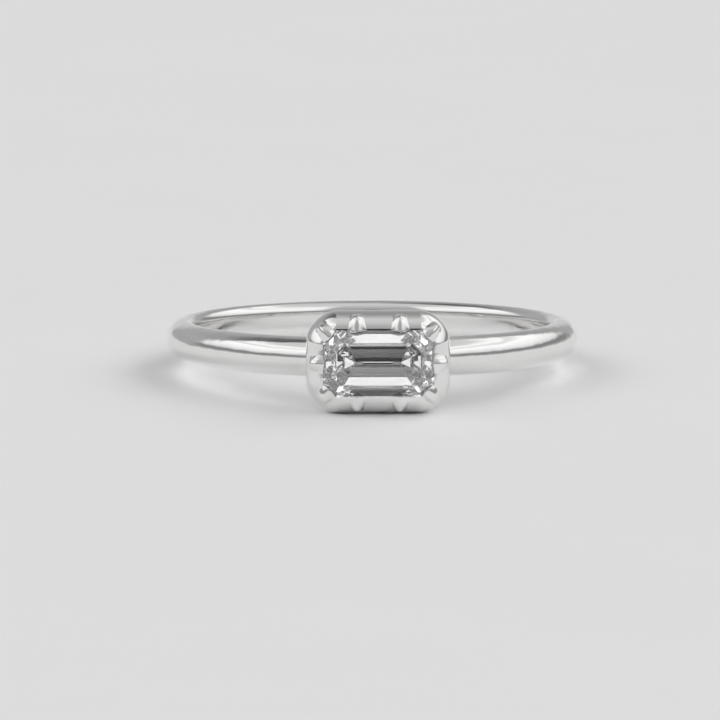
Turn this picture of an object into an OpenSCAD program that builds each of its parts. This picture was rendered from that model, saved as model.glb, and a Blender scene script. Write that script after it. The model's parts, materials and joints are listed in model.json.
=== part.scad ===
// Diamond ring: a step-cut stone set crosswise in a cut-down collet on a half-round band.
// The ring lies on its side, as it rests by itself: the collet's lower edge and the back
// of the band touch the surface at z = 0, and the stone faces -Y.

/* [Band] */
// Inner diameter of the band, where the finger goes
bore_d = 17.3; // [15:0.1:21]
// Width of the band along the finger
band_w = 1.9; // [1.7:0.05:2.2]
// Thickness of the band at its crown
band_t = 1.4; // [1.25:0.05:1.6]
// Radius that eases the band's inner edges
ease_r = 0.5; // [0.3:0.05:0.55]

/* [Stone] */
// Length of the stone, across the finger
stone_l = 5.4; // [5.1:0.05:5.8]
// Width of the stone, along the finger
stone_w = 3.3; // [3.1:0.05:3.6]
// How far each corner of the stone is cut back
stone_cut = 0.62; // [0.5:0.02:0.7]
// Height of the girdle's upper edge above the finger
girdle_h = 3.25; // [3.1:0.05:3.5]
// Clearance between the stone and its seat
stone_gap = 0.03; // [0.02:0.005:0.05]

/* [Collet] */
// Length of the collet at its widest contour
collet_l = 6.85; // [6.6:0.05:7.2]
// Width of the collet at its widest contour
collet_w = 4.9; // [4.7:0.05:5.2]
// Height of the widest contour above the finger
contour_h = 2.25; // [2.1:0.05:2.4]
// How far the collet's corners are drawn in at the contour
corner_size = 1.45; // [1.3:0.05:1.5]
// How far the wall draws in from the contour to its lowest point
wall_draft = 0.8; // [0.5:0.05:0.9]
// Clearance between the collet's back and the finger
back_gap = 0.2; // [0.1:0.05:0.3]
// Length of the window in the collet's back
window_l = 4.0; // [3.4:0.1:4.2]
// Width of the window in the collet's back
window_w = 2.2; // [2.0:0.05:2.4]

/* [Claws] */
// Width of each rounded claw beside the stone
claw_w = 0.82; // [0.7:0.02:0.9]
// Height of the claws above the girdle
claw_h = 0.18; // [0.1:0.02:0.24]
// How far each claw reaches in over the stone
claw_reach = 0.1; // [0.06:0.02:0.16]
// Distance of the long sides' claws from the middle
claw_x = 1.02; // [0.9:0.02:1.1]

/* [Hidden] */

bore_r = bore_d / 2;
crown_r = band_w / 2;                  // radius of the band's rounded outside
crown_at = bore_r + band_t - crown_r;  // distance of its centre from the bore's axis

// The easing arcs touch the band's flat inside and its rounded outside
ease_at = bore_r + ease_r;
ease_y = sqrt(pow(crown_r - ease_r, 2) - pow(ease_at - crown_at, 2));
pass_a = atan2(ease_y, ease_at - crown_at);

// The stone's steps, from the girdle up to the table and down to the keel
GIRDLE_T = 0.1;
CROWN_STEPS = [
    // inset, rise, corner's cut beside the girdle's
    [0.366, 0.319, -0.11],
    [0.624, 0.532, -0.19],
    [0.682, 0.567, -0.21]
];
PAVILION_STEPS = [
    // inset, depth, corner's cut beside the girdle's
    [0.597, 0.922, -0.17],
    [0.999, 1.351, -0.29]
];
KEEL_DEPTH = 1.73;
keel_half = (stone_l - stone_w) / 2;
last_crown = CROWN_STEPS[len(CROWN_STEPS) - 1];

// The collet's shape
WALL_DEPTH = 3.45;      // from the contour to the wall's lowest point, inside the bore
WALL_POW = 1.3;         // how late the wall draws in
RIM_POW = 1.1;          // roundness of the rim: 1 is a full quarter round, 2 a bevel
CORNER_POW = 1.2;       // roundness of the contour's corners, on the same scale
CLAW_START = 32;        // turn round the rim, from the contour, at which the claws rise
CLAW_END = 0.4;         // share of a claw's width that is left there, at its round end
CLAW_POW = 0.45;        // roundness of a claw along its length, on the same scale
CLAW_SLOPE = 0.2;       // fall of a claw's face for each mm outwards
CLAW_CREST = 1.6;       // roundness of a claw's crest across its width: 1 is sharp
CLAW_FLARE = 1.05;      // how softly a claw's flanks run out into the rim: 1 is not at all
LIP_INSET = 0.03;       // how far the lip goes in past the girdle's edge
LIP_DEPTH = 0.06;       // depth of the recess inside the lip, all within the seat
SEAT_TOP = 2.4;         // height of the window's inner end above the finger

// How the ring lies: the contour's lower edge and the band's back are on the surface
contour_at = bore_r + contour_h;
reach = norm([contour_at + crown_at, collet_w / 2]);
tilt = atan2(collet_w / 2, contour_at + crown_at) - asin(crown_r / reach);
axis_z = crown_r + crown_at * sin(tilt);
back_y = crown_at * cos(tilt) + crown_r;
table_at = bore_r + girdle_h + last_crown[1];
front_y = table_at * cos(tilt) + (stone_w / 2 - last_crown[0]) * sin(tilt);
axis_y = (front_y - back_y) / 2;

function mix(p, q, share) = p + (q - p) * share;
// The points of an arc after its first
function arc(x, y, r, from, to, steps) =
    [for (i = [1:steps]) let (a = mix(from, to, i / steps)) [x + r * cos(a), y + r * sin(a)]];

// Side faces between stacked rings of n points, the lowest ring first, two triangles each
function ring_faces(rings, n) =
    [for (k = [0:rings - 2], i = [0:n - 1])
        let (a = k * n + i, b = a + n, c = (k + 1) * n + (i + 1) % n, d = c - n)
        each [[a, b, c], [a, c, d]]];

// The ring's own frame has the bore's axis as Z; this lays the ring on the surface
module lie_down() {
    translate([0, axis_y, axis_z]) rotate([-tilt, 0, 0]) children();
}

// The collet's frame has z as the height above the finger and x across it
module on_finger() {
    rotate([90, 0, 0]) translate([0, 0, bore_r]) children();
}

module band() {
    half = concat(
        arc(crown_at, 0, crown_r, 0, pass_a, 8),
        arc(ease_at, ease_y, ease_r, pass_a, 180, 5)
    );
    rotate_extrude($fn = 120) polygon(concat(
        [[crown_at + crown_r, 0]],
        half,
        [for (i = [len(half) - 1:-1:0]) [half[i][0], -half[i][1]]]
    ));
}

// A rectangle with cut corners, of half sizes a and b, anticlockwise from above
function cut_rectangle(a, b, cut, z) = [
    [a, cut - b, z], [a, b - cut, z], [a - cut, b, z], [cut - a, b, z],
    [-a, b - cut, z], [-a, cut - b, z], [cut - a, -b, z], [a - cut, -b, z]
];

// The stone, grown by g on every side
module stone(g) {
    n = 8;
    a = stone_l / 2 + g;
    b = stone_w / 2 + g;
    low = girdle_h - GIRDLE_T - g / 2;
    top = girdle_h + g / 2;
    rings = concat(
        [for (i = [len(PAVILION_STEPS) - 1:-1:0]) let (s = PAVILION_STEPS[i])
            cut_rectangle(a - s[0], b - s[0], stone_cut + s[2], low - s[1])],
        [cut_rectangle(a, b, stone_cut, low), cut_rectangle(a, b, stone_cut, top)],
        [for (s = CROWN_STEPS) cut_rectangle(a - s[0], b - s[0], stone_cut + s[2], top + s[1])]
    );
    keel = low - KEEL_DEPTH - g;
    right = len(rings) * n;
    left = right + 1;
    polyhedron(
        concat([for (r = rings, p = r) p], [[keel_half, 0, keel], [-keel_half, 0, keel]]),
        concat(
            ring_faces(len(rings), n),
            [[for (i = [1:n]) right - i]],
            [[right, 0, 1], [right, 1, 2], [left, right, 2, 3], [left, 3, 4],
             [left, 4, 5], [left, 5, 6], [right, left, 6, 7], [right, 7, 0]]
        )
    );
}

// Sections of the collet, each a list of its half length, half width, height above the
// finger, corner size, corner roundness, half a claw's width, and how far the claws go
// out and up there. turn runs from 0 at the contour to 90 at the lip.
function in_share(turn, power) = 1 - pow(cos(turn), power);
function up_share(turn, power) = pow(sin(turn), power);
function wall_section(depth) =
    let (inset = wall_draft * pow(depth / WALL_DEPTH, WALL_POW))
    [collet_l / 2 - inset, collet_w / 2 - inset, contour_h - depth,
     corner_size - inset, CORNER_POW, claw_w / 2, 0, 0];
function rim_section(turn) =
    let (f = in_share(turn, RIM_POW), rim = (girdle_h - contour_h) * up_share(turn, RIM_POW))
    [mix(collet_l, stone_l, f) / 2, mix(collet_w, stone_w, f) / 2, contour_h + rim,
     mix(corner_size, stone_cut, f), mix(CORNER_POW, 2, f), claw_share(turn) * claw_w / 2,
     each turn > CLAW_START ? claw_point(turn) - [(1 - f) * (collet_w - stone_w) / 2, rim] : [0, 0]];
function claw_turn(turn) = 90 * (turn - CLAW_START) / (90 - CLAW_START);
// Share of a claw's full width
function claw_share(turn) =
    turn > CLAW_START ? mix(CLAW_END, 1, up_share(claw_turn(turn), 0.5))
    : mix(1, CLAW_END, turn / CLAW_START);
// Distance of a claw's crest from the lip and its height above the contour
function claw_point(turn) =
    let (depth = (collet_w - stone_w) / 2, rise = girdle_h - contour_h,
         out = depth * pow(cos(CLAW_START), RIM_POW) * pow(cos(claw_turn(turn)), CLAW_POW),
         start = rise * up_share(CLAW_START, RIM_POW))
    [out, mix(start, rise + claw_h - CLAW_SLOPE * out, up_share(claw_turn(turn), CLAW_POW))];
function lip_section(depth, claw_up) =
    [stone_l / 2 - LIP_INSET, stone_w / 2 - LIP_INSET, girdle_h - depth,
     stone_cut, 2, claw_w / 2, -claw_reach, claw_up];

// Stretches of one quarter of the outline, from the middle of the short side to the
// middle of the long side. A place on one runs from -1 to 1 across a claw, else 0 to 1.
SHORT_CLAW = 0;
SHORT = 1;
CORNER_START = 2;
CORNER_CLAW = 3;
CORNER_END = 4;
LONG = 5;
LONG_CLAW = 6;
MIDDLE = 7;
CLAW_TURNS = [-90:22.5:90];
// Place across a claw of a point at turn, with the points closer together at its edges
function across(turn) = (sin(turn) + turn / 90) / 2;
STATIONS = concat(
    [for (a = [0:22.5:90]) [SHORT_CLAW, across(a)]],
    [[SHORT, 0.5], [CORNER_START, 0], [CORNER_START, 0.5]],
    [for (a = CLAW_TURNS) [CORNER_CLAW, across(a)]],
    [[CORNER_END, 0.5], [CORNER_END, 1], [LONG, 0.5]],
    [for (a = CLAW_TURNS) [LONG_CLAW, across(a)]],
    [[MIDDLE, 0.5], [MIDDLE, 1]]
);
function is_claw(stretch) =
    stretch == SHORT_CLAW || stretch == CORNER_CLAW || stretch == LONG_CLAW;
function bulge(stretch, place) =
    is_claw(stretch) ? pow(max(0, 1 - pow(abs(place), CLAW_CREST)), CLAW_FLARE) : 0;
function outward(stretch) =
    stretch < CORNER_START ? [1, 0] : stretch > CORNER_END ? [0, 1] : [sqrt(0.5), sqrt(0.5)];

function corner_point(s, turn) =
    [s[0] - s[3] * (1 - pow(cos(turn), s[4])), s[1] - s[3] * (1 - pow(sin(turn), s[4]))];
// Turn that half a claw takes up in the middle of a corner
function half_turn(s) = s[5] * 180 / (sqrt(2) * PI * s[3] * s[4] * pow(sqrt(0.5), s[4]));
function plan_point(s, stretch, place) =
    let (half = s[5], h = half_turn(s))
    stretch == SHORT_CLAW ? [s[0], place * half]
    : stretch == SHORT ? [s[0], mix(half, s[1] - s[3], place)]
    : stretch == CORNER_START ? corner_point(s, place * (45 - h))
    : stretch == CORNER_CLAW ? corner_point(s, 45 + place * h)
    : stretch == CORNER_END ? corner_point(s, mix(45 + h, 90, place))
    : stretch == LONG ? [mix(s[0] - s[3], claw_x + half, place), s[1]]
    : stretch == LONG_CLAW ? [claw_x - place * half, s[1]]
    : [mix(claw_x - half, 0, place), s[1]];

function quarter(s) =
    [for (station = STATIONS)
        let (p = plan_point(s, station[0], station[1]),
             proud = bulge(station[0], station[1]),
             q = p + proud * s[6] * outward(station[0]))
        [q[0], q[1], s[2] + proud * s[7]]];
function mirrored(list, sx, sy) = [for (p = list) [sx * p[0], sy * p[1], p[2]]];
// The points between a list's ends, in the other order
function inner_backwards(list) = [for (i = [len(list) - 2:-1:1]) list[i]];
function outline(s) =
    let (q = quarter(s))
    concat(
        q,
        inner_backwards(mirrored(q, -1, 1)),
        mirrored(q, -1, -1),
        inner_backwards(mirrored(q, 1, -1))
    );

// The collet as a closed form, with a recess inside its lip
module collet_form() {
    rings = [
        for (depth = [WALL_DEPTH, 1.7, 0.8, 0.3]) outline(wall_section(depth)),
        for (turn = [0, 16, 32, 33, 37, 45, 56, 68, 80, 87, 90]) outline(rim_section(turn)),
        outline(lip_section(0.02, 0.8 * claw_h)),
        outline(lip_section(LIP_DEPTH, 0))
    ];
    n = len(rings[0]);
    count = len(rings);
    foot = count * n;
    recess = foot + 1;
    polyhedron(
        concat(
            [for (r = rings, p = r) p],
            [[0, 0, contour_h - WALL_DEPTH], [0, 0, girdle_h - LIP_DEPTH]]
        ),
        concat(
            ring_faces(count, n),
            [for (i = [0:n - 1]) [foot, i, (i + 1) % n]],
            [for (i = [0:n - 1]) [recess, (count - 1) * n + (i + 1) % n, (count - 1) * n + i]]
        )
    );
}

module window() {
    depth = WALL_DEPTH + SEAT_TOP;
    translate([0, 0, SEAT_TOP - depth / 2]) cube([window_l, window_w, depth], center = true);
}

// Band, collet and claws are soldered together and are one piece of metal
module ring_mount() {
    color("gainsboro") lie_down() difference() {
        union() {
            band();
            difference() {
                on_finger() collet_form();
                cylinder(h = 2 * collet_w, r = bore_r + back_gap, center = true, $fn = 120);
            }
        }
        on_finger() stone(stone_gap);
        on_finger() window();
    }
}

module diamond() {
    color("azure") lie_down() on_finger() stone(0);
}

ring_mount();
diamond();
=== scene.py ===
"""A diamond ring on a pale floor: a step-cut stone in a cut-down collet on a half-round band."""
import json
import math

import bpy
import numpy as np
from mathutils import Matrix, Vector


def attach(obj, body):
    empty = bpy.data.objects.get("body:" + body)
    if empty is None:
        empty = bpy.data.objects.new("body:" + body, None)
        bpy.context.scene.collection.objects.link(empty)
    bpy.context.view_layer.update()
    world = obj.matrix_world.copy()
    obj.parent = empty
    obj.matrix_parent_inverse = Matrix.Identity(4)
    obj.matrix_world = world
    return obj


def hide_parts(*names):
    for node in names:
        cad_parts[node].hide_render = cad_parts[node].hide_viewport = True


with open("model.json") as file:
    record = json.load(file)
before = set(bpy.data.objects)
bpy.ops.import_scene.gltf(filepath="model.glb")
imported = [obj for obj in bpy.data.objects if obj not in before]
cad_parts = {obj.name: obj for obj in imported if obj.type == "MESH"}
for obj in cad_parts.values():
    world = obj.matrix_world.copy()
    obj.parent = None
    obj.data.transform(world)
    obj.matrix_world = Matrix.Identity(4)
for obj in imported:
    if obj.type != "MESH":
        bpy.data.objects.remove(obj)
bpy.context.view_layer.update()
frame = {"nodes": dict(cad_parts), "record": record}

# Sizes in millimetres, as in the part's source
MM = 0.001
BORE_R = 8.65
BAND_W = 1.9
BAND_T = 1.4
EASE_R = 0.5
STONE_L = 5.4
STONE_W = 3.3
STONE_CUT = 0.62
GIRDLE_H = 3.25
GIRDLE_T = 0.1
STONE_GAP = 0.03
CROWN_SLOPE = 0.87      # rise of the stone's lowest crown facet for each mm inwards
COLLET_L = 6.85
COLLET_W = 4.9
CONTOUR_H = 2.25
CORNER_SIZE = 1.45
WALL_DRAFT = 0.8
WALL_DEPTH = 3.45
WALL_POW = 1.3
BACK_GAP = 0.2
WINDOW_L = 4.0
WINDOW_W = 2.2
WINDOW_CORNER = 0.3
SEAT_TOP = 2.3
LIP_COVER = 0.06        # how far the lip is burnished over the stone's edge
LIP_T = 0.02            # thickness of the lip's edge
RIM_POW = 1.1
CORNER_POW = 1.2        # roundness of the corners' curve
STONE_POW = 2           # the same for a straight cut corner, as the stone's
CLAW_W = 0.82
CLAW_H = 0.18
CLAW_REACH = 0.07
CLAW_X = 1.02
CLAW_START = 32         # degrees round the rim from the contour, where the claws rise
CLAW_END = 0.4          # share of a claw's width that is left there
CLAW_END_POW = 0.5      # how round the claws' outer ends are
CLAW_POW = 0.45
CLAW_SLOPE = 0.2        # fall of a claw's face for each mm outwards
CLAW_CREST = 1.6        # 1 for a sharp crest, 2 for a round one
CLAW_FLARE = 1.05       # how softly a claw's flanks run out into the rim
SEAT_STEPS = [          # inset, depth and change of the corner's cut, as the stone's pavilion
    (0.3, 0.463, -0.09),
    (0.55, 0.85, -0.165),
]
EDGE_R = 0.09           # radius of the collet's rounded lower edges
FILLET_R = 0.16         # radius of the solder fillet between band and collet

LIP_L = STONE_L / 2 - LIP_COVER
LIP_W = STONE_W / 2 - LIP_COVER
LIP_H = GIRDLE_H + CROWN_SLOPE * LIP_COVER + STONE_GAP + LIP_T

# How the ring lies: the contour's lower edge and the band's back are on the floor
CROWN_R = BAND_W / 2
CROWN_AT = BORE_R + BAND_T - CROWN_R
CONTOUR_AT = BORE_R + CONTOUR_H
REACH = math.hypot(CONTOUR_AT + CROWN_AT, COLLET_W / 2)
TILT = math.atan2(COLLET_W / 2, CONTOUR_AT + CROWN_AT) - math.asin(CROWN_R / REACH)
AXIS_Z = CROWN_R + CROWN_AT * math.sin(TILT)
AXIS_Y = frame["record"]["mounts"][0]["pos_m"][1] / MM


def mix(p, q, share):
    return p + (q - p) * share


def lie_down(points):
    """Millimetres in the ring's own frame, whose Z is the bore's axis, to metres on the floor."""
    x, y, z = points[..., 0], points[..., 1], points[..., 2]
    c, s = math.cos(TILT), math.sin(TILT)
    return MM * np.stack([x, AXIS_Y + y * c + z * s, AXIS_Z - y * s + z * c], axis=-1)


def on_finger(points):
    """The collet's frame, with z as height above the finger, to the ring's own frame."""
    x, y, z = points[..., 0], points[..., 1], points[..., 2]
    return np.stack([x, -(BORE_R + z), y], axis=-1)


def new_object(name, points, faces):
    mesh = bpy.data.meshes.new(name)
    mesh.from_pydata(points.reshape(-1, 3).tolist(), [], faces)
    mesh.update()
    piece = bpy.data.objects.new(name, mesh)
    bpy.context.scene.collection.objects.link(piece)
    return piece


def grid_faces(rows, columns, close_rows=False):
    """Quads between rows of points; each row is a closed loop."""
    last = rows if close_rows else rows - 1
    return [
        (
            k * columns + i, k * columns + (i + 1) % columns,
            (k + 1) % rows * columns + (i + 1) % columns, (k + 1) % rows * columns + i,
        )
        for k in range(last) for i in range(columns)
    ]


# The collet's outline, a quarter at a time, from the middle of the short side to the middle of
# the long side. A place on a stretch runs from -1 to 1 across a claw, else from 0 to 1.
SHORT_CLAW, SHORT, CORNER_START, CORNER_CLAW, CORNER_END, LONG, LONG_CLAW, MIDDLE = range(8)
CLAW_STRETCHES = (SHORT_CLAW, CORNER_CLAW, LONG_CLAW)
CLAW_SAMPLES = 26
PLAIN_SAMPLES = {SHORT: 8, CORNER_START: 9, CORNER_END: 9, LONG: 9, MIDDLE: 12}


def quarter_stations():
    stations = []
    for stretch in range(8):
        if stretch in CLAW_STRETCHES:
            low = 0 if stretch == SHORT_CLAW else -90
            count = CLAW_SAMPLES // 2 if stretch == SHORT_CLAW else CLAW_SAMPLES
            turns = np.linspace(low, 90, count + 1)
            places = (np.sin(np.radians(turns)) + turns / 90) / 2
        else:
            count = PLAIN_SAMPLES[stretch]
            first = 0 if stretch == CORNER_START else 1
            last = count if stretch in (CORNER_END, MIDDLE) else count - 1
            places = np.arange(first, last + 1) / count
        stations += [(stretch, place) for place in places]
    return np.array(stations)


def roof(place):
    """Height of a claw's cross-section, 1 at its crest and 0 at its edges, at -1 and 1."""
    return (1 - np.abs(place) ** CLAW_CREST) ** CLAW_FLARE


STATIONS = quarter_stations()
STRETCH = STATIONS[:, 0].astype(int)
PLACE = STATIONS[:, 1]
IS_CLAW = np.isin(STRETCH, CLAW_STRETCHES)
BULGE = np.where(IS_CLAW, roof(PLACE), 0)
DIAGONAL = math.sqrt(0.5)
OUT_X = np.where(STRETCH < CORNER_START, 1, np.where(STRETCH > CORNER_END, 0, DIAGONAL))
OUT_Y = np.where(STRETCH < CORNER_START, 0, np.where(STRETCH > CORNER_END, 1, DIAGONAL))


def outline(half_l, half_w, height, corner, power, claw_half, out=0.0, up=0.0):
    """One closed row round the collet. Each value may be a number or one for each station.

    A claw is raised by out, away from the stone, and by up, away from the finger.
    """
    half_turn = claw_half * 180 / (math.sqrt(2) * math.pi * corner * power * DIAGONAL ** power)

    def corner_point(turn):
        turn = np.radians(np.clip(turn, 0, 90))
        return (half_l - corner * (1 - np.cos(turn) ** power),
                half_w - corner * (1 - np.clip(np.sin(turn), 0, 1) ** power))

    full = np.zeros(len(STATIONS))
    edge_x, edge_y = half_l - corner, half_w - corner
    points = {
        SHORT_CLAW: (half_l + full, PLACE * claw_half),
        SHORT: (half_l + full, mix(claw_half, edge_y, PLACE)),
        CORNER_START: corner_point(PLACE * (45 - half_turn)),
        CORNER_CLAW: corner_point(45 + PLACE * half_turn),
        CORNER_END: corner_point(mix(45 + half_turn, 90, PLACE)),
        LONG: (mix(edge_x, CLAW_X + claw_half, PLACE), half_w + full),
        LONG_CLAW: (CLAW_X - PLACE * claw_half, half_w + full),
        MIDDLE: (mix(CLAW_X - claw_half, 0, PLACE), half_w + full),
    }
    x = np.choose(STRETCH, [points[k][0] for k in range(8)])
    y = np.choose(STRETCH, [points[k][1] for k in range(8)])
    quarter = np.stack([
        x + BULGE * out * OUT_X, y + BULGE * out * OUT_Y, height + BULGE * up + full,
    ], axis=1)
    back = quarter[-2:0:-1]
    return np.concatenate([
        quarter, back * (-1, 1, 1), quarter * (-1, -1, 1), back * (1, -1, 1),
    ])


def wall_draft(depth):
    """How far the collet's wall has drawn in at a depth below the widest contour."""
    return WALL_DRAFT * (depth / WALL_DEPTH) ** WALL_POW


def wall_row(depth, inset=0.0):
    draft = wall_draft(depth) + inset
    return outline(
        COLLET_L / 2 - draft, COLLET_W / 2 - draft, CONTOUR_H - depth,
        CORNER_SIZE - draft, CORNER_POW, CLAW_W / 2,
    )


def arc(turn, power):
    """Shares of the way in and of the way up, on a curve that starts upright."""
    c, s = math.cos(math.radians(turn)), math.sin(math.radians(turn))
    return 1 - c ** power, s ** power


def rim_row(turn):
    """A row from the widest contour, at 0 degrees, to the lip, at 90."""
    depth, rise = COLLET_W / 2 - LIP_W, LIP_H - CONTOUR_H
    share, lift = arc(turn, RIM_POW)
    out = up = 0
    width = mix(1, CLAW_END, turn / CLAW_START)
    if turn > CLAW_START:
        claw_turn = 90 * (turn - CLAW_START) / (90 - CLAW_START)
        width = mix(CLAW_END, 1, arc(claw_turn, CLAW_END_POW)[1])
        first_share, first_lift = arc(CLAW_START, RIM_POW)
        claw_share, claw_lift = arc(claw_turn, CLAW_POW)
        claw_share = mix(first_share, 1, claw_share)
        face = rise + CLAW_H - CLAW_SLOPE * depth * (1 - claw_share)
        out = depth * (share - claw_share)
        up = mix(rise * first_lift, face, claw_lift) - rise * lift
    return outline(
        mix(COLLET_L / 2, LIP_L, share), mix(COLLET_W / 2, LIP_W, share), CONTOUR_H + rise * lift,
        mix(CORNER_SIZE, STONE_CUT, share), mix(CORNER_POW, STONE_POW, share),
        width * CLAW_W / 2, out, up,
    )


def lip_row(drop=0.0, reach=0.0, claw_up=0.0):
    """A row of the lip, where the claws reach in over the stone."""
    return outline(
        LIP_L, LIP_W, LIP_H - drop, STONE_CUT, STONE_POW, CLAW_W / 2, -reach, claw_up,
    )


def tip_row(turn):
    """A row of the claws' round ends: over their tops, at 0 degrees, down to the stone, at 90."""
    a = math.radians(turn)
    height = mix(CROWN_SLOPE * CLAW_REACH, CLAW_H, math.cos(a))
    return lip_row(reach=CLAW_REACH * math.sin(a), claw_up=height)


def seat_row(inset, depth, cut):
    """A row inset from the stone's outline, at a depth below its girdle."""
    return outline(
        STONE_L / 2 + STONE_GAP - inset, STONE_W / 2 + STONE_GAP - inset,
        GIRDLE_H - GIRDLE_T - depth, STONE_CUT + cut, STONE_POW, CLAW_W / 2,
    )


def window_row(height, outset=0.0):
    """A row of the window behind the stone, whose corners are plain quarter circles."""
    return outline(
        WINDOW_L / 2 + outset, WINDOW_W / 2 + outset, height, WINDOW_CORNER + outset, 1, CLAW_W / 3,
    )


def back_height(x):
    """Height above the finger of the collet's hollow back."""
    return np.sqrt((BORE_R + BACK_GAP) ** 2 - x ** 2) - BORE_R


def collet():
    """The collet with its rim, claws, seat and window, as one closed surface."""
    # The depth at which the wall meets the hollow back, found in a few rounds
    depth = np.full(len(STATIONS), CONTOUR_H)
    for _ in range(6):
        depth = CONTOUR_H - back_height(wall_row(depth)[:len(STATIONS), 0])
    foot = []
    for turn in np.radians([90, 70, 50, 30, 12]):
        foot.append(wall_row(depth - EDGE_R * (1 - math.sin(turn)), EDGE_R * (1 - math.cos(turn))))
    wall = [wall_row((depth - EDGE_R) * share ** 1.2) for share in np.linspace(1, 0, 16)[:-1]]
    rim = [rim_row(turn) for turn in np.linspace(0, CLAW_START, 10)]
    for a in np.linspace(0, math.pi, 40)[1:]:
        rim.append(rim_row(mix(CLAW_START, 90, 0.5 - 0.5 * math.cos(a))))
    tips = [tip_row(turn) for turn in np.linspace(0, 90, 8)[1:]]
    under = [lip_row(drop=LIP_T, reach=0.9 * CLAW_REACH, claw_up=CROWN_SLOPE * CLAW_REACH)]
    seat = [seat_row(0, -GIRDLE_T, 0), seat_row(0, 0, 0)]
    seat += [seat_row(*step) for step in SEAT_STEPS]
    window = [window_row(SEAT_TOP - 0.02, 0.02)]
    low = back_height(window_row(0)[:, 0])
    for share in np.linspace(0, 1, 7):
        row = window_row(0)
        row[:, 2] = mix(SEAT_TOP - 0.06, low + EDGE_R, share)
        window.append(row)
    for turn in np.radians([30, 60, 90]):
        row = window_row(0, EDGE_R * (1 - math.cos(turn)))
        row[:, 2] = low + EDGE_R * (1 - math.sin(turn))
        window.append(row)
    back = []
    for share in np.linspace(0, 1, 6)[1:-1]:
        row = mix(window[-1], foot[0], share)
        row[:, 2] = back_height(row[:, 0])
        back.append(row)
    rows = np.array(foot + wall + rim + tips + under + seat + window + back)
    faces = grid_faces(len(rows), rows.shape[1], close_rows=True)
    return new_object("collet", lie_down(on_finger(rows)), faces)


def band_section():
    """Radius, height along the bore and normal of the points round the band's section."""
    ease_at = BORE_R + EASE_R
    ease_y = math.sqrt((CROWN_R - EASE_R) ** 2 - (ease_at - CROWN_AT) ** 2)
    pass_a = math.degrees(math.atan2(ease_y, ease_at - CROWN_AT))

    def round_points(at, height, radius, turns):
        c, s = np.cos(np.radians(turns)), np.sin(np.radians(turns))
        return np.stack([at + radius * c, height + radius * s, c, s], axis=1)

    flat = [(BORE_R, mix(ease_y, -ease_y, share), -1, 0) for share in np.linspace(0, 1, 6)[1:-1]]
    return np.concatenate([
        round_points(CROWN_AT, 0, CROWN_R, np.linspace(-pass_a, pass_a, 49)),
        round_points(ease_at, ease_y, EASE_R, np.linspace(pass_a, 180, 10)[1:]),
        flat,
        round_points(ease_at, -ease_y, EASE_R, np.linspace(180, 360 - pass_a, 10)[:-1]),
    ])


BAND_END = 2.06         # distance of the band's ends from the middle, inside the collet's wall
BAND_RINGS = 150        # along each half of the band
FAR = 9                 # stands for the distance to the wall on the band's back half
FILLET_SHARE = 0.97     # how much of the quarter circle the fillet takes up
FLARE_INSIDE = 0.76     # share of the fillet's radius by which the band is flared at the wall
FLARE_RUN = 0.4         # how far it runs on inside the wall


def band():
    """The band from one wall of the collet round to the other, flared where it is soldered on."""
    r, h, n_r, n_h = band_section().T
    shares = np.linspace(0, 1, BAND_RINGS) ** 1.6
    rings = []
    # From the left end round to the right one, so that the faces look outwards
    for side, order in ((-1, shares), (1, shares[-2::-1])):
        for share in order:
            turn = mix(np.arcsin(BAND_END / r), math.pi, share)
            x, height = r * np.sin(turn), r * np.cos(turn) - BORE_R
            depth = np.clip(CONTOUR_H - height, 0, WALL_DEPTH)
            # The flare rises to the wall on a round fillet, and runs out again inside the wall
            wall_x = COLLET_L / 2 - wall_draft(depth)
            clear = np.where(np.cos(turn) > 0, x - wall_x, FAR) / FILLET_R
            flare = np.where(
                clear > 0,
                1 - np.sqrt(1 - np.clip(1 - clear, 0, FILLET_SHARE) ** 2),
                FLARE_INSIDE * np.clip(1 + clear * FILLET_R / FLARE_RUN, 0, 1),
            )
            # None on the flat inside, so that the bore keeps its radius
            flare *= FILLET_R * np.clip((n_r + 0.5) / 0.5, 0, 1)
            rr, hh = r + flare * n_r, h + flare * n_h
            rings.append(np.stack([side * rr * np.sin(turn), -rr * np.cos(turn), hh], axis=1))
    rings = np.array(rings)
    count, n = rings.shape[:2]
    faces = grid_faces(count, n)
    faces.append(tuple(range(n))[::-1])
    faces.append(tuple((count - 1) * n + i for i in range(n)))
    return new_object("band", lie_down(rings), faces)


def ring_mount():
    """Band and collet as the one piece of metal that they are."""
    metal, other = collet(), band()
    for piece in (metal, other):
        piece.data.validate()
    union = metal.modifiers.new("solder", "BOOLEAN")
    union.operation = "UNION"
    union.solver = "MANIFOLD"
    union.object = other
    depsgraph = bpy.context.evaluated_depsgraph_get()
    mesh = bpy.data.meshes.new_from_object(metal.evaluated_get(depsgraph))
    metal.modifiers.clear()
    metal.data = mesh
    bpy.data.objects.remove(other)
    metal.name = "mount"
    mesh.shade_smooth()
    mesh.set_sharp_from_angle(angle=math.radians(38))
    return metal


# Materials
def add_node(tree, kind, **inputs):
    node = tree.nodes.new(kind)
    for name, value in inputs.items():
        setattr(node, name, value)
    return node


def link(tree, source, target):
    tree.links.new(source, target)


def calculate(tree, operation, a, b=None):
    """A Math node on sockets or numbers; returns its output."""
    node = add_node(tree, "ShaderNodeMath", operation=operation)
    for socket, value in zip(node.inputs, (a, b)):
        if value is None:
            continue
        if isinstance(value, (int, float)):
            socket.default_value = value
        else:
            link(tree, value, socket)
    return node.outputs[0]


def smooth_step(tree, value, low, high, from_value=0.0, to_value=1.0):
    node = add_node(tree, "ShaderNodeMapRange", interpolation_type="SMOOTHSTEP")
    link(tree, value, node.inputs["Value"])
    numbers = {"From Min": low, "From Max": high, "To Min": from_value, "To Max": to_value}
    for name, number in numbers.items():
        node.inputs[name].default_value = number
    return node.outputs["Result"]


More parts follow.
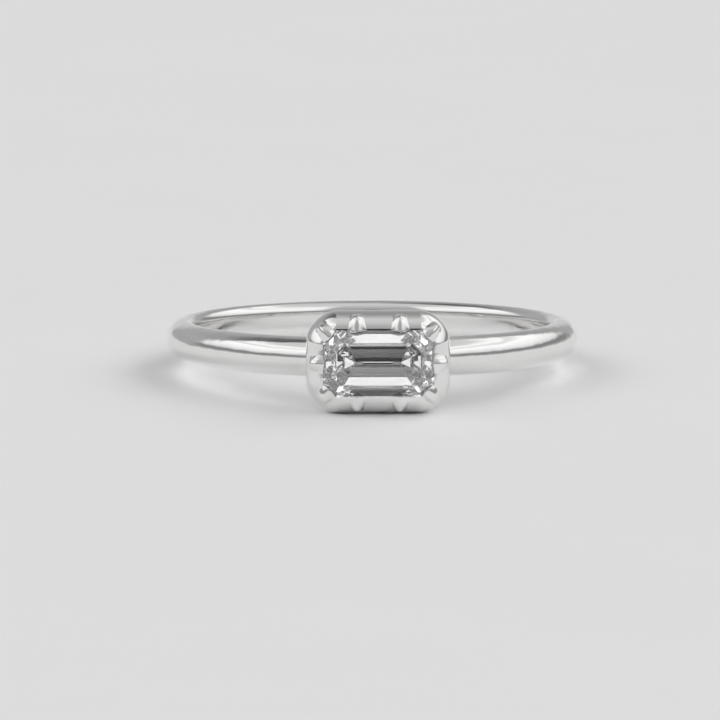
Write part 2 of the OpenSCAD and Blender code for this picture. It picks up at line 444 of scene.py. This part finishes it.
def between(tree, a, b, share):
    node = add_node(tree, "ShaderNodeMix", data_type="FLOAT")
    for name, value in (("Factor", share), ("A", a), ("B", b)):
        if isinstance(value, (int, float)):
            node.inputs[name].default_value = value
        else:
            link(tree, value, node.inputs[name])
    return node.outputs["Result"]


def noise(tree, coordinates, scale, detail):
    node = add_node(tree, "ShaderNodeTexNoise")
    link(tree, coordinates, node.inputs["Vector"])
    node.inputs["Scale"].default_value = scale
    node.inputs["Detail"].default_value = detail
    return node.outputs["Fac"]


def stretched(tree, coordinates, scales, detail):
    """Noise with its own scale along each axis."""
    mapping = add_node(tree, "ShaderNodeMapping")
    link(tree, coordinates, mapping.inputs["Vector"])
    mapping.inputs["Scale"].default_value = scales
    return noise(tree, mapping.outputs["Vector"], 1, detail)


def new_material(name):
    material = bpy.data.materials.new(name)
    material.use_nodes = True
    tree = material.node_tree
    shader = tree.nodes["Principled BSDF"]
    place = add_node(tree, "ShaderNodeTexCoord").outputs["Object"]
    return material, tree, shader, place


def collet_frame(tree, place):
    """The place in metres: across the finger, along it from the ring's middle, and above it."""
    c, s = math.cos(TILT), math.sin(TILT)
    split = add_node(tree, "ShaderNodeSeparateXYZ")
    link(tree, place, split.inputs["Vector"])
    distances = [split.outputs["X"]]
    for direction, start in (((0, s, c), 0), ((0, -c, s), BORE_R)):
        product = add_node(tree, "ShaderNodeVectorMath", operation="DOT_PRODUCT")
        link(tree, place, product.inputs[0])
        product.inputs[1].default_value = direction
        offset = (AXIS_Y * direction[1] + AXIS_Z * direction[2] + start) * MM
        distances.append(calculate(tree, "SUBTRACT", product.outputs["Value"], offset))
    return distances


def within_reach(tree, distance, limit):
    """1 where a distance either way is below a limit in millimetres, else 0."""
    return calculate(tree, "LESS_THAN", calculate(tree, "ABSOLUTE", distance), limit * MM)


def white_metal():
    """Polished white metal with faint hand-finishing waves and fine scratches."""
    material, tree, shader, place = new_material("white_metal")
    shader.inputs["Metallic"].default_value = 1.0
    worn = noise(tree, place, 900, 4)
    tint = add_node(tree, "ShaderNodeMix", data_type="RGBA")
    link(tree, worn, tint.inputs["Factor"])
    tint.inputs["A"].default_value = (0.86, 0.855, 0.85, 1)
    tint.inputs["B"].default_value = (0.9, 0.897, 0.892, 1)
    # The seat and the window behind the stone were never polished
    x, along, height = collet_frame(tree, place)
    within = calculate(tree, "GREATER_THAN", height, 0)
    below_lip = smooth_step(tree, height, (GIRDLE_H - 0.03) * MM, (GIRDLE_H - 0.02) * MM, 1, 0)
    in_length = within_reach(tree, x, STONE_L / 2)
    in_width = within_reach(tree, along, STONE_W / 2)
    for part in (below_lip, in_length, in_width):
        within = calculate(tree, "MULTIPLY", within, part)
    dull = add_node(tree, "ShaderNodeMix", data_type="RGBA")
    link(tree, within, dull.inputs["Factor"])
    link(tree, tint.outputs["Result"], dull.inputs["A"])
    dull.inputs["B"].default_value = (0.65, 0.65, 0.65, 1)
    link(tree, dull.outputs["Result"], shader.inputs["Base Color"])
    cloudy = noise(tree, place, 1500, 3)
    rough = smooth_step(tree, cloudy, 0.3, 0.8, 0.05, 0.12)
    link(tree, between(tree, rough, 0.4, within), shader.inputs["Roughness"])

    # Long polishing marks, a hand-finished waviness and fine scratches
    marks = stretched(tree, place, (500, 2600, 2600), 2)
    waves = stretched(tree, place, (420, 900, 900), 1)
    scratches = stretched(tree, place, (5000, 20000, 45000), 2)
    # The band's flat inside, told by its distance from the bore's axis, is smoother than the rest
    from_axis = calculate(tree, "ADD", height, BORE_R * MM)
    squares = [calculate(tree, "MULTIPLY", length, length) for length in (x, from_axis)]
    radius = calculate(tree, "SQRT", calculate(tree, "ADD", *squares))
    wavy = smooth_step(tree, radius, (BORE_R + 0.02) * MM, (BORE_R + 0.3) * MM, 0.2, 1)
    normal = None
    for pattern, strength, depth in (
        (scratches, 0.015, 0.00002), (marks, 0.06, 0.0001), (waves, 0.14, 0.0003),
    ):
        bump = add_node(tree, "ShaderNodeBump")
        link(tree, calculate(tree, "MULTIPLY", wavy, strength), bump.inputs["Strength"])
        bump.inputs["Distance"].default_value = depth
        link(tree, pattern, bump.inputs["Height"])
        if normal:
            link(tree, normal, bump.inputs["Normal"])
        normal = bump.outputs["Normal"]
    link(tree, normal, shader.inputs["Normal"])
    return material


def diamond_material():
    """Colourless stone with polished facets and a frosted girdle."""
    material, tree, shader, place = new_material("diamond")
    shader.inputs["Base Color"].default_value = (1, 1, 1, 1)
    shader.inputs["Transmission Weight"].default_value = 1.0
    shader.inputs["IOR"].default_value = 2.417
    # Height above the finger tells the girdle from the facets
    height = collet_frame(tree, place)[2]
    off = calculate(tree, "SUBTRACT", height, (GIRDLE_H - GIRDLE_T / 2) * MM)
    off = calculate(tree, "ABSOLUTE", off)
    on_girdle = smooth_step(tree, off, 0.45 * GIRDLE_T * MM, 0.5 * GIRDLE_T * MM, 1.0, 0.0)
    grain = noise(tree, place, 20000, 2)
    rough = calculate(tree, "MULTIPLY", on_girdle, smooth_step(tree, grain, 0.2, 0.8, 0.15, 0.4))
    link(tree, rough, shader.inputs["Roughness"])
    return material


FLOOR_GLOW = 0.35       # strength of the floor's painted glow: light it gives off where the stone shows it


def floor_material():
    material, tree, shader, place = new_material("floor")
    speckle = noise(tree, place, 60, 3)
    tint = add_node(tree, "ShaderNodeMix", data_type="RGBA")
    link(tree, speckle, tint.inputs["Factor"])
    tint.inputs["A"].default_value = (0.83, 0.83, 0.83, 1)
    tint.inputs["B"].default_value = (0.85, 0.85, 0.85, 1)
    link(tree, tint.outputs["Result"], shader.inputs["Base Color"])
    shader.inputs["Roughness"].default_value = 0.7
    shader.inputs["Specular IOR Level"].default_value = 0.2
    # Painted light: the sheet glows, as emission, where it is seen through the stone, so the stone
    # shows it brighter than it is elsewhere in the picture
    through = add_node(tree, "ShaderNodeLightPath").outputs["Is Transmission Ray"]
    shader.inputs["Emission Color"].default_value = (1, 1, 1, 1)
    painted_glow = calculate(tree, "MULTIPLY", through, FLOOR_GLOW)
    link(tree, painted_glow, shader.inputs["Emission Strength"])
    return material


# The camera, fitted to fifteen edges of the ring in the photograph
CAMERA_ELEVATION = 10.3206
CAMERA_YAW = 1.3958
CAMERA_ROLL = 0.0957
CAMERA_DISTANCE = 349.974
CAMERA_LENS = 358.29
AIM = (0, AXIS_Y - 1, 2.0)
AIM_RIGHT = -0.61874
AIM_UP = -1.26924

# Light from all round. Each stretch of bearings, from the camera's side round to the right,
# has pairs of elevation in degrees above the horizon and strength.
BACK = [
    (0, 0.62), (9, 0.6), (18, 0.43), (27, 0.43), (40, 0.35), (54, 0.3), (69, 0.42), (84, 0.6),
    (90, 0.66),
]
LEFT_BACK = [
    (0, 0.5), (3, 0.4), (12, 0.4), (20, 0.42), (38, 0.36), (47, 0.2), (57, 0.13), (64, 0.12),
    (72, 0.3), (84, 0.6), (90, 0.66),
]
RIGHT_BACK = [
    (0, 0.5), (4, 0.4), (11, 0.4), (17, 0.38), (37, 0.34), (51, 0.5), (69, 0.5), (84, 0.6),
    (90, 0.66),
]
FRONT = [
    (0, 0.5), (4, 0.3), (12, 0.32), (23, 0.4), (43, 0.46), (61, 0.6), (84, 0.66), (90, 0.66),
]
SIDE = [
    (0, 0.55), (3, 0.38), (5.5, 0.25), (11.5, 0.25), (16.5, 0.75), (24, 0.95), (38, 1.15),
    (44, 0.8), (49, 1.1), (53, 1.0), (57, 0.72), (65, 0.66), (90, 0.66),
]
BEARINGS = [            # degrees from and to which the light changes over to the next stretch
    (-168, -158, LEFT_BACK), (-128, -114, SIDE), (-44, -32, FRONT), (24, 40, SIDE),
    (142, 154, RIGHT_BACK), (162, 172, BACK),
]
GROUND = 0.66           # below the horizon, behind and beside the ring
ROOM = 0.04             # below the horizon, in front of the sheet
LENS = 0.03             # the camera's own front
LENS_RADIUS = 9         # degrees
THROUGH_STONE = (1.5, 1.8)      # contrast and gain of the light that is seen through the stone
ON_FLOOR = (3.5, 2.8)           # the same for the light that falls on the floor


def sky_ramp(tree, elevation, stops):
    ramp = add_node(tree, "ShaderNodeValToRGB")
    elements = ramp.color_ramp.elements
    link(tree, calculate(tree, "DIVIDE", elevation, 90), ramp.inputs["Fac"])
    while len(elements) < len(stops):
        elements.new(0.5)
    for element, (at, _) in zip(elements, stops):
        element.position = at / 90
    for element, (_, level) in zip(elements, stops):
        element.color = (level / 2, level / 2, level / 2, 1)
    return calculate(tree, "MULTIPLY", ramp.outputs["Color"], 2)


def studio_light():
    """A light tent: two bright sides, a dimmer front and back, and a dark slot above the floor."""
    world = bpy.data.worlds.new("studio")
    bpy.context.scene.world = world
    world.use_nodes = True
    tree = world.node_tree
    direction = add_node(tree, "ShaderNodeSeparateXYZ")
    vector = add_node(tree, "ShaderNodeTexCoord").outputs["Generated"]
    link(tree, vector, direction.inputs["Vector"])
    x, y, z = direction.outputs
    elevation = calculate(tree, "DEGREES", calculate(tree, "ARCSINE", z))
    forward = calculate(tree, "MULTIPLY", y, -1)
    bearing = calculate(tree, "DEGREES", calculate(tree, "ARCTAN2", x, forward))
    sky = sky_ramp(tree, elevation, BACK)
    for low, high, stops in BEARINGS:
        share = smooth_step(tree, bearing, low, high)
        sky = between(tree, sky, sky_ramp(tree, elevation, stops), share)
    in_front = smooth_step(tree, calculate(tree, "ABSOLUTE", bearing), 90, 60)
    below = between(tree, GROUND, ROOM, in_front)
    sky = between(tree, below, sky, smooth_step(tree, elevation, -2, -0.5))
    # The camera's own dark front, which the stone and the band reflect
    facing = add_node(tree, "ShaderNodeVectorMath", operation="DOT_PRODUCT")
    link(tree, vector, facing.inputs[0])
    e, yaw = math.radians(CAMERA_ELEVATION), math.radians(CAMERA_YAW)
    facing.inputs[1].default_value = (
        -math.sin(yaw) * math.cos(e), -math.cos(yaw) * math.cos(e), math.sin(e),
    )
    off_axis = calculate(tree, "DEGREES", calculate(tree, "ARCCOSINE", facing.outputs["Value"]))
    sky = between(tree, LENS, sky, smooth_step(tree, off_axis, LENS_RADIUS - 2, LENS_RADIUS + 2))
    # Seen through the stone, and where it lights the floor, the light has more contrast
    path = add_node(tree, "ShaderNodeLightPath").outputs
    on_floor = calculate(tree, "GREATER_THAN", path["Diffuse Depth"], 0.5)
    for used, (contrast, gain) in (
        (path["Is Transmission Ray"], THROUGH_STONE), (on_floor, ON_FLOOR),
    ):
        harder = calculate(tree, "MULTIPLY", calculate(tree, "POWER", sky, contrast), gain)
        sky = between(tree, sky, harder, used)
    link(tree, sky, tree.nodes["Background"].inputs["Color"])
    tree.nodes["Background"].inputs["Strength"].default_value = 1.0


def floor():
    """A pale sheet in metres. Its front edge is just outside the picture, before the dark room."""
    half, front = 1.0, -0.088
    corners = np.array([(-half, front, 0), (half, front, 0), (half, half, 0), (-half, half, 0)])
    ground = new_object("floor", corners, [(0, 1, 2, 3)])
    ground.data.materials.append(floor_material())


def camera():
    e, yaw, roll = (math.radians(a) for a in (CAMERA_ELEVATION, CAMERA_YAW, CAMERA_ROLL))
    ahead = Vector((math.sin(yaw) * math.cos(e), math.cos(yaw) * math.cos(e), -math.sin(e)))
    level = Vector((math.cos(yaw), -math.sin(yaw), 0))
    upright = level.cross(ahead)
    right = math.cos(roll) * level + math.sin(roll) * upright
    up = math.cos(roll) * upright - math.sin(roll) * level
    place = Vector(AIM) + AIM_RIGHT * right + AIM_UP * up - CAMERA_DISTANCE * ahead
    data = bpy.data.cameras.new("camera")
    data.lens = CAMERA_LENS
    data.sensor_width = 36
    data.clip_start = 0.05
    data.clip_end = 10
    holder = bpy.data.objects.new("camera", data)
    turn = Matrix((right, up, -ahead)).transposed().to_4x4()
    holder.matrix_world = Matrix.Translation(place * MM) @ turn
    bpy.context.scene.collection.objects.link(holder)
    bpy.context.scene.camera = holder


camera()
studio_light()
floor()

mount = ring_mount()
mount.data.materials.clear()
mount.data.materials.append(white_metal())
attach(mount, "root")
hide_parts("ring_mount")

diamond = frame["nodes"]["diamond"]
diamond.data.materials.clear()
diamond.data.materials.append(diamond_material())

scene = bpy.context.scene
scene.view_settings.view_transform = "Standard"
scene.cycles.max_bounces = 32
scene.cycles.glossy_bounces = 24
scene.cycles.transmission_bounces = 32
